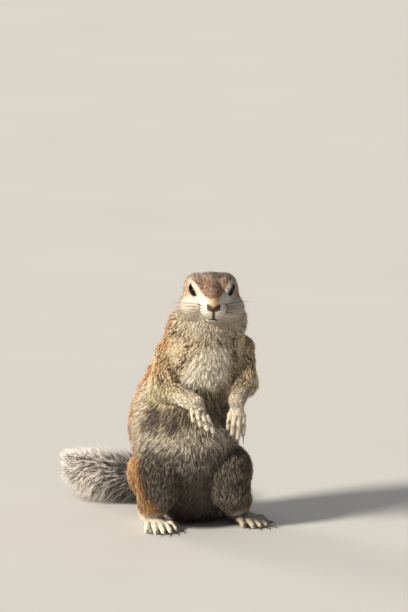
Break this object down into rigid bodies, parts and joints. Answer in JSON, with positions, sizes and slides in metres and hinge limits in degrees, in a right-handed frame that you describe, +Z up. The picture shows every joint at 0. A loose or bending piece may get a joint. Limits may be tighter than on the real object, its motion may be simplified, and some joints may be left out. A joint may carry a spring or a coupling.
{
  "type": "ground squirrel",
  "caption": "Life-size still model of a ground squirrel sitting upright on its haunches, forepaws hanging before its belly, bushy tail laid on the floor to its right.",
  "frame": {"origin": "middle of the underside of the bounding box, on the floor that the animal sits on", "axes": "+Z up; -Y the way the face looks; +X the animal's left, so the tail lies round to -X"},
  "size_m": [0.1628, 0.195, 0.1936],
  "materials": {
    "head_coat": "short grizzled rusty fur, cream on the face",
    "body_coat": "pepper-and-salt fur, cinnamon back, pale grey-fawn belly, white side stripe",
    "limb_coat": "short grey-brown fur, cream-white on hands and feet",
    "tail_coat": "long hair banded black and white, white at the tips",
    "bare_skin": "matt dark skin of the nose and soles",
    "horn": "dark horn, paler at the tips",
    "eye_gloss": "wet black-brown",
    "whisker": "stiff dark hair"
  },
  "bodies": {
    "root": {"eye_left": "eye_gloss", "ear_left": "head_coat", "eye_right": "eye_gloss", "ear_right": "head_coat", "head": "head_coat", "upper_arm_left": "limb_coat", "forearm_left": "limb_coat", "hand_left": "limb_coat", "hand_left_claw_1": "horn", "hand_left_claw_2": "horn", "hand_left_claw_3": "horn", "hand_left_claw_4": "horn", "thigh_left": "limb_coat", "shank_left": "limb_coat", "foot_left_claw_1": "horn", "foot_left_claw_2": "horn", "foot_left_claw_3": "horn", "foot_left_claw_4": "horn", "foot_left_claw_5": "horn", "foot_left": "limb_coat", "upper_arm_right": "limb_coat", "forearm_right": "limb_coat", "hand_right": "limb_coat", "hand_right_claw_1": "horn", "hand_right_claw_2": "horn", "hand_right_claw_3": "horn", "hand_right_claw_4": "horn", "thigh_right": "limb_coat", "shank_right": "limb_coat", "foot_right_claw_1": "horn", "foot_right_claw_2": "horn", "foot_right_claw_3": "horn", "foot_right_claw_4": "horn", "foot_right_claw_5": "horn", "foot_right": "limb_coat", "tail_base": "tail_coat", "tail_middle": "tail_coat", "tail_tip": "tail_coat", "rump": "body_coat", "lower_belly": "body_coat", "belly": "body_coat", "chest": "body_coat", "neck": "body_coat"}
  },
  "joints": []
}
